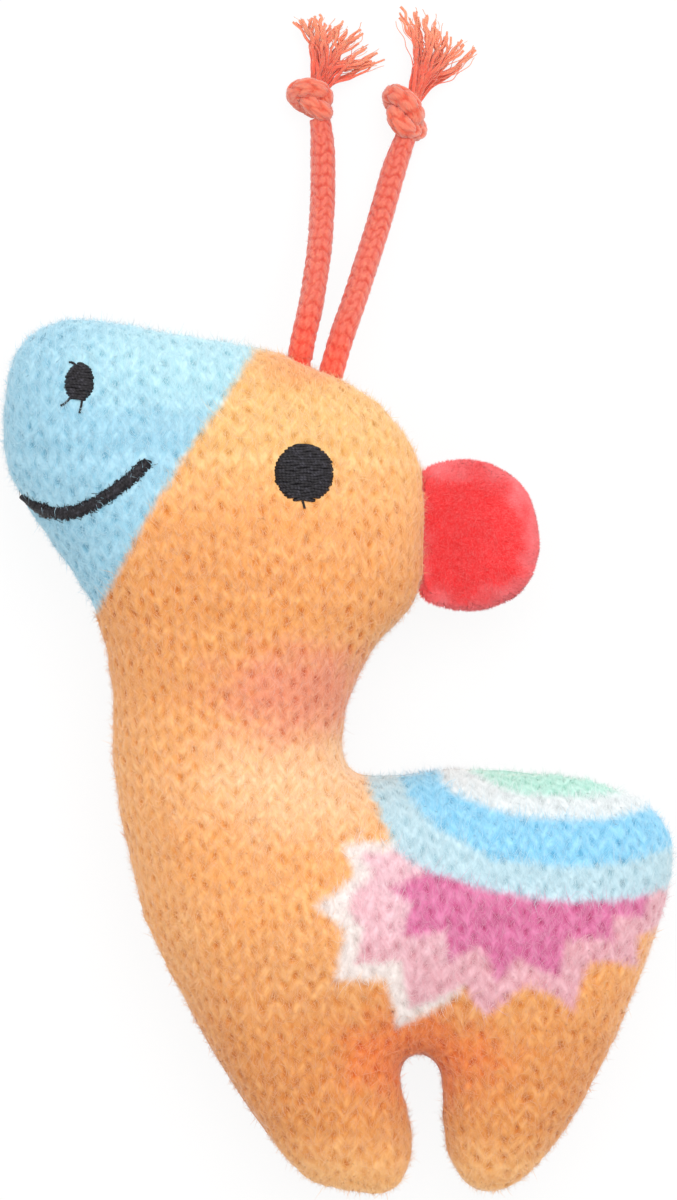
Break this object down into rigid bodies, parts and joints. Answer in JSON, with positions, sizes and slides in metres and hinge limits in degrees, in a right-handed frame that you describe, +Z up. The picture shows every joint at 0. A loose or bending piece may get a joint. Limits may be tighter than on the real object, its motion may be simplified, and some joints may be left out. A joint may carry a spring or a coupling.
{
  "type": "stuffed giraffe cat toy",
  "caption": "Knitted giraffe toy for cats, stuffed, with an embroidered face, a plush tuft and knotted cords.",
  "frame": {"origin": "middle of the base of the toy without its cords, on the floor that it lies on", "axes": "+X from muzzle to rump, +Y from feet to crown, +Z up from the floor through the toy's thickness"},
  "size_m": [0.0836, 0.1491, 0.0275],
  "materials": {
    "knit": "printed brushed knit, matt",
    "filling": "loose polyester fibre",
    "thread": "satin stitch thread",
    "plush": "short pile plush",
    "cord": "round braided cord",
    "frayed_cord": "loose cord yarns"
  },
  "bodies": {
    "toy": {"left_cover": "knit", "right_cover": "knit", "head_filling": "filling", "neck_filling": "filling", "torso_filling": "filling", "front_leg_filling": "filling", "rear_leg_filling": "filling", "left_eye": "thread", "right_eye": "thread", "left_nostril": "thread", "right_nostril": "thread", "left_mouth": "thread", "right_mouth": "thread", "front_cord_sewn_end": "cord", "rear_cord_sewn_end": "cord"},
    "tuft": {"tuft_left_cover": "plush", "tuft_right_cover": "plush", "tuft_filling": "filling"},
    "front_cord": {"front_cord": "cord", "front_knot": "cord", "front_fray": "frayed_cord"},
    "rear_cord": {"rear_cord": "cord", "rear_knot": "cord", "rear_fray": "frayed_cord"}
  },
  "joints": [
    {"name": "front_cord_swing", "type": "hinge", "parent": "toy", "child": "front_cord", "pos_m": [-0.00452, 0.05214, 0.0135], "axis": [0.9874, -0.158, 0], "range_deg": [0, 90]},
    {"name": "rear_cord_swing", "type": "hinge", "parent": "toy", "child": "rear_cord", "pos_m": [-0.00047, 0.04996, 0.0135], "axis": [0.9604, -0.2785, 0], "range_deg": [0, 90]},
    {"name": "tuft_flop", "type": "hinge", "parent": "toy", "child": "tuft", "pos_m": [0.0123, 0.0279, 0.0135], "axis": [0, -1, 0], "range_deg": [-35, 35], "stiffness_Nm_per_rad": 0.002}
  ]
}
